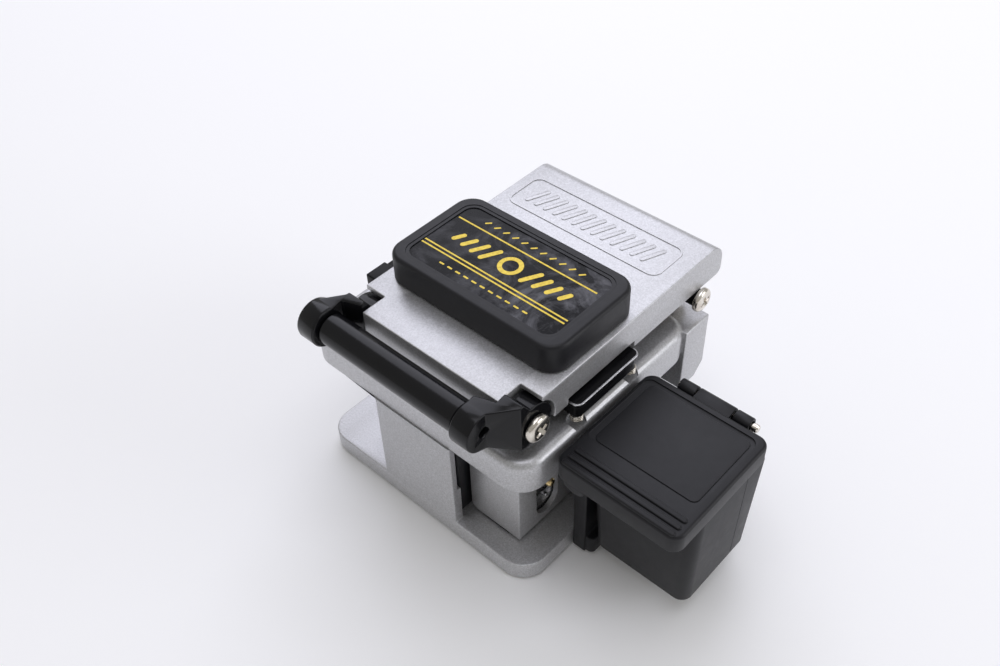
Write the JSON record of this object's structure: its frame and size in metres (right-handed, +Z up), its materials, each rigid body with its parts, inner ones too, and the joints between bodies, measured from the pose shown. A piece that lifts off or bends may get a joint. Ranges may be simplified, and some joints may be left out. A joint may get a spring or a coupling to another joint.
{
  "type": "fiber cleaver",
  "caption": "Hand-held optical fibre cleaver: cast base and hinged lid with press bar, fibre clamps, sliding cutting wheel and an off-cut bin at the side.",
  "frame": {"origin": "middle of the rubber foot pad's underside, under the middle of the base casting", "axes": "+X to the right along the front towards the off-cut bin, +Y from the handle to the lid's hinge, +Z up"},
  "size_m": [0.093, 0.0745, 0.0595],
  "materials": {
    "silver_paint": "fine grained silver paint on castings",
    "black_plastic": "satin moulded black",
    "black_paint": "satin black enamel",
    "black_anodised": "black anodised, satin",
    "black_rubber": "matt rubber",
    "nickel": "bright nickel plate",
    "steel": "ground steel",
    "brass": "turned brass",
    "label": "glossy printed plate",
    "carbide": "polished carbide"
  },
  "bodies": {
    "base": {"body_casting": "silver_paint", "base_pad": "black_rubber", "inner_guard": "black_plastic", "slide_rail": "steel", "slide_screw_front": "nickel", "slide_screw_rear": "nickel", "deck_magnet": "nickel", "lower_pad_left": "black_rubber", "lower_pad_right": "black_rubber", "fiber_guide_plate": "black_anodised", "guide_screw_front": "nickel", "guide_screw_rear": "nickel", "hinge_shaft": "steel", "hinge_ring_inner": "nickel", "hinge_ring_outer": "nickel", "hinge_bushing_right": "black_anodised", "hinge_screw_right": "nickel", "hinge_bushing_left": "black_anodised", "hinge_screw_left": "nickel", "bin_bracket": "black_plastic", "bracket_screw_front": "nickel", "bracket_screw_rear": "nickel", "offcut_bin": "black_plastic", "bin_hinge_pin": "nickel"},
    "lid": {"lid_casting": "silver_paint", "top_pad": "black_plastic", "label_plate": "label", "striker_pin": "nickel", "press_bar": "black_anodised", "press_foot": "black_rubber", "handle_screw_left": "nickel", "handle_screw_right": "nickel"},
    "handle": {"handle_arm_left": "black_paint", "handle_arm_right": "black_paint", "grip_bar": "black_paint", "grip_axle": "steel"},
    "clamp_right": {"clamp_plate_right": "steel", "clamp_bar_right": "black_anodised", "clamp_rubber_right": "black_rubber", "clamp_post_right_front": "steel", "clamp_post_right_rear": "steel", "clamp_spring_front": "nickel", "clamp_spring_rear": "nickel"},
    "clamp_left": {"clamp_plate_left": "steel", "clamp_bar_left": "black_anodised", "clamp_rubber_left": "black_rubber", "clamp_post_left_front": "steel", "clamp_post_left_rear": "steel"},
    "anvil": {"anvil_block": "carbide"},
    "carriage": {"carriage_block": "silver_paint", "carriage_bearing": "steel", "blade_axle": "nickel", "height_screw": "brass"},
    "blade": {"blade_wheel": "carbide", "blade_hub": "black_anodised"},
    "bin_lid": {"bin_lid": "black_plastic"}
  },
  "joints": [
    {"name": "lid_hinge", "type": "hinge", "parent": "base", "child": "lid", "pos_m": [0.00565, 0.0282, 0.0418], "axis": [-1, 0, 0], "range_deg": [0, 75]},
    {"name": "handle_pivot", "type": "hinge", "parent": "lid", "child": "handle", "pos_m": [0.00565, -0.0248, 0.046], "axis": [-1, 0, 0], "range_deg": [-30, 6]},
    {"name": "clamp_right_float", "type": "slide", "parent": "lid", "child": "clamp_right", "axis": [0, 0, 1], "range_m": [0, 0.001], "stiffness_N_per_m": 300, "springref_m": -0.002},
    {"name": "clamp_left_float", "type": "slide", "parent": "lid", "child": "clamp_left", "axis": [0, 0, 1], "range_m": [0, 0.001], "stiffness_N_per_m": 300, "springref_m": -0.002},
    {"name": "anvil_plunge", "type": "slide", "parent": "lid", "child": "anvil", "axis": [0, 0, 1], "range_m": [0, 0.0008], "stiffness_N_per_m": 300, "springref_m": -0.002},
    {"name": "carriage_slide", "type": "slide", "parent": "base", "child": "carriage", "axis": [0, 1, 0], "range_m": [0, 0.02]},
    {"name": "blade_turn", "type": "hinge", "parent": "carriage", "child": "blade", "pos_m": [0.0146, -0.014, 0.0295], "axis": [1, 0, 0], "continuous": true},
    {"name": "bin_lid_hinge", "type": "hinge", "parent": "base", "child": "bin_lid", "pos_m": [0.047, 0.0099, 0.0359], "axis": [-1, 0, 0], "range_deg": [0, 105]}
  ]
}
